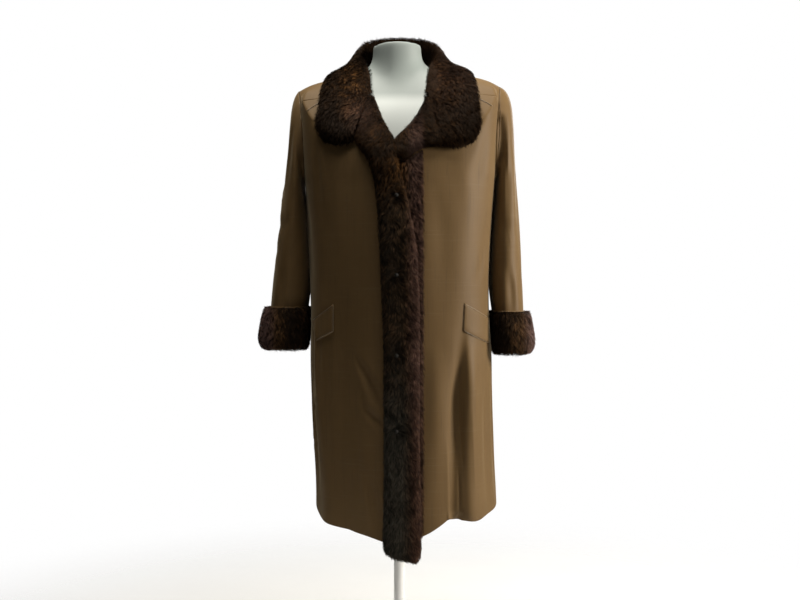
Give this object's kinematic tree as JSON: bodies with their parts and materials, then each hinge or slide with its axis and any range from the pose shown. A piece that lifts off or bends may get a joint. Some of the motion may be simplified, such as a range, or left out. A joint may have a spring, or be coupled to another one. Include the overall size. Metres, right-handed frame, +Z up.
{
  "type": "fur-lined coat on a dress form",
  "caption": "Knee-length satin coat with a wide fur collar, fur front edges and turned-back fur cuffs, worn by a limbless dress form on a round stand.",
  "frame": {"origin": "centre of the stand's underside, on the floor under the middle of the coat", "axes": "+Z up; the coat's front faces -Y and its viewer's right side +X"},
  "size_m": [0.6208, 0.3528, 1.466],
  "materials": {
    "satin": "bronze-brown satin with a soft sheen",
    "fur": "dark brown fur, reddish where it is turned",
    "fastener": "dark, half bright",
    "form": "white, smooth",
    "stand": "white, satin"
  },
  "bodies": {
    "root": {"front_over": "satin", "front_under": "satin", "back": "satin", "yoke_left": "satin", "yoke_right": "satin", "sleeve_left": "satin", "sleeve_right": "satin", "pocket_left": "satin", "pocket_right": "satin", "cuff_left": "fur", "cuff_right": "fur", "collar": "fur", "strip_over": "fur", "strip_under": "fur", "lapel_under": "fur", "fastener_1": "fastener", "fastener_2": "fastener", "fastener_3": "fastener", "fastener_4": "fastener", "form_torso": "form", "form_pole": "stand", "form_base": "stand"}
  },
  "joints": []
}
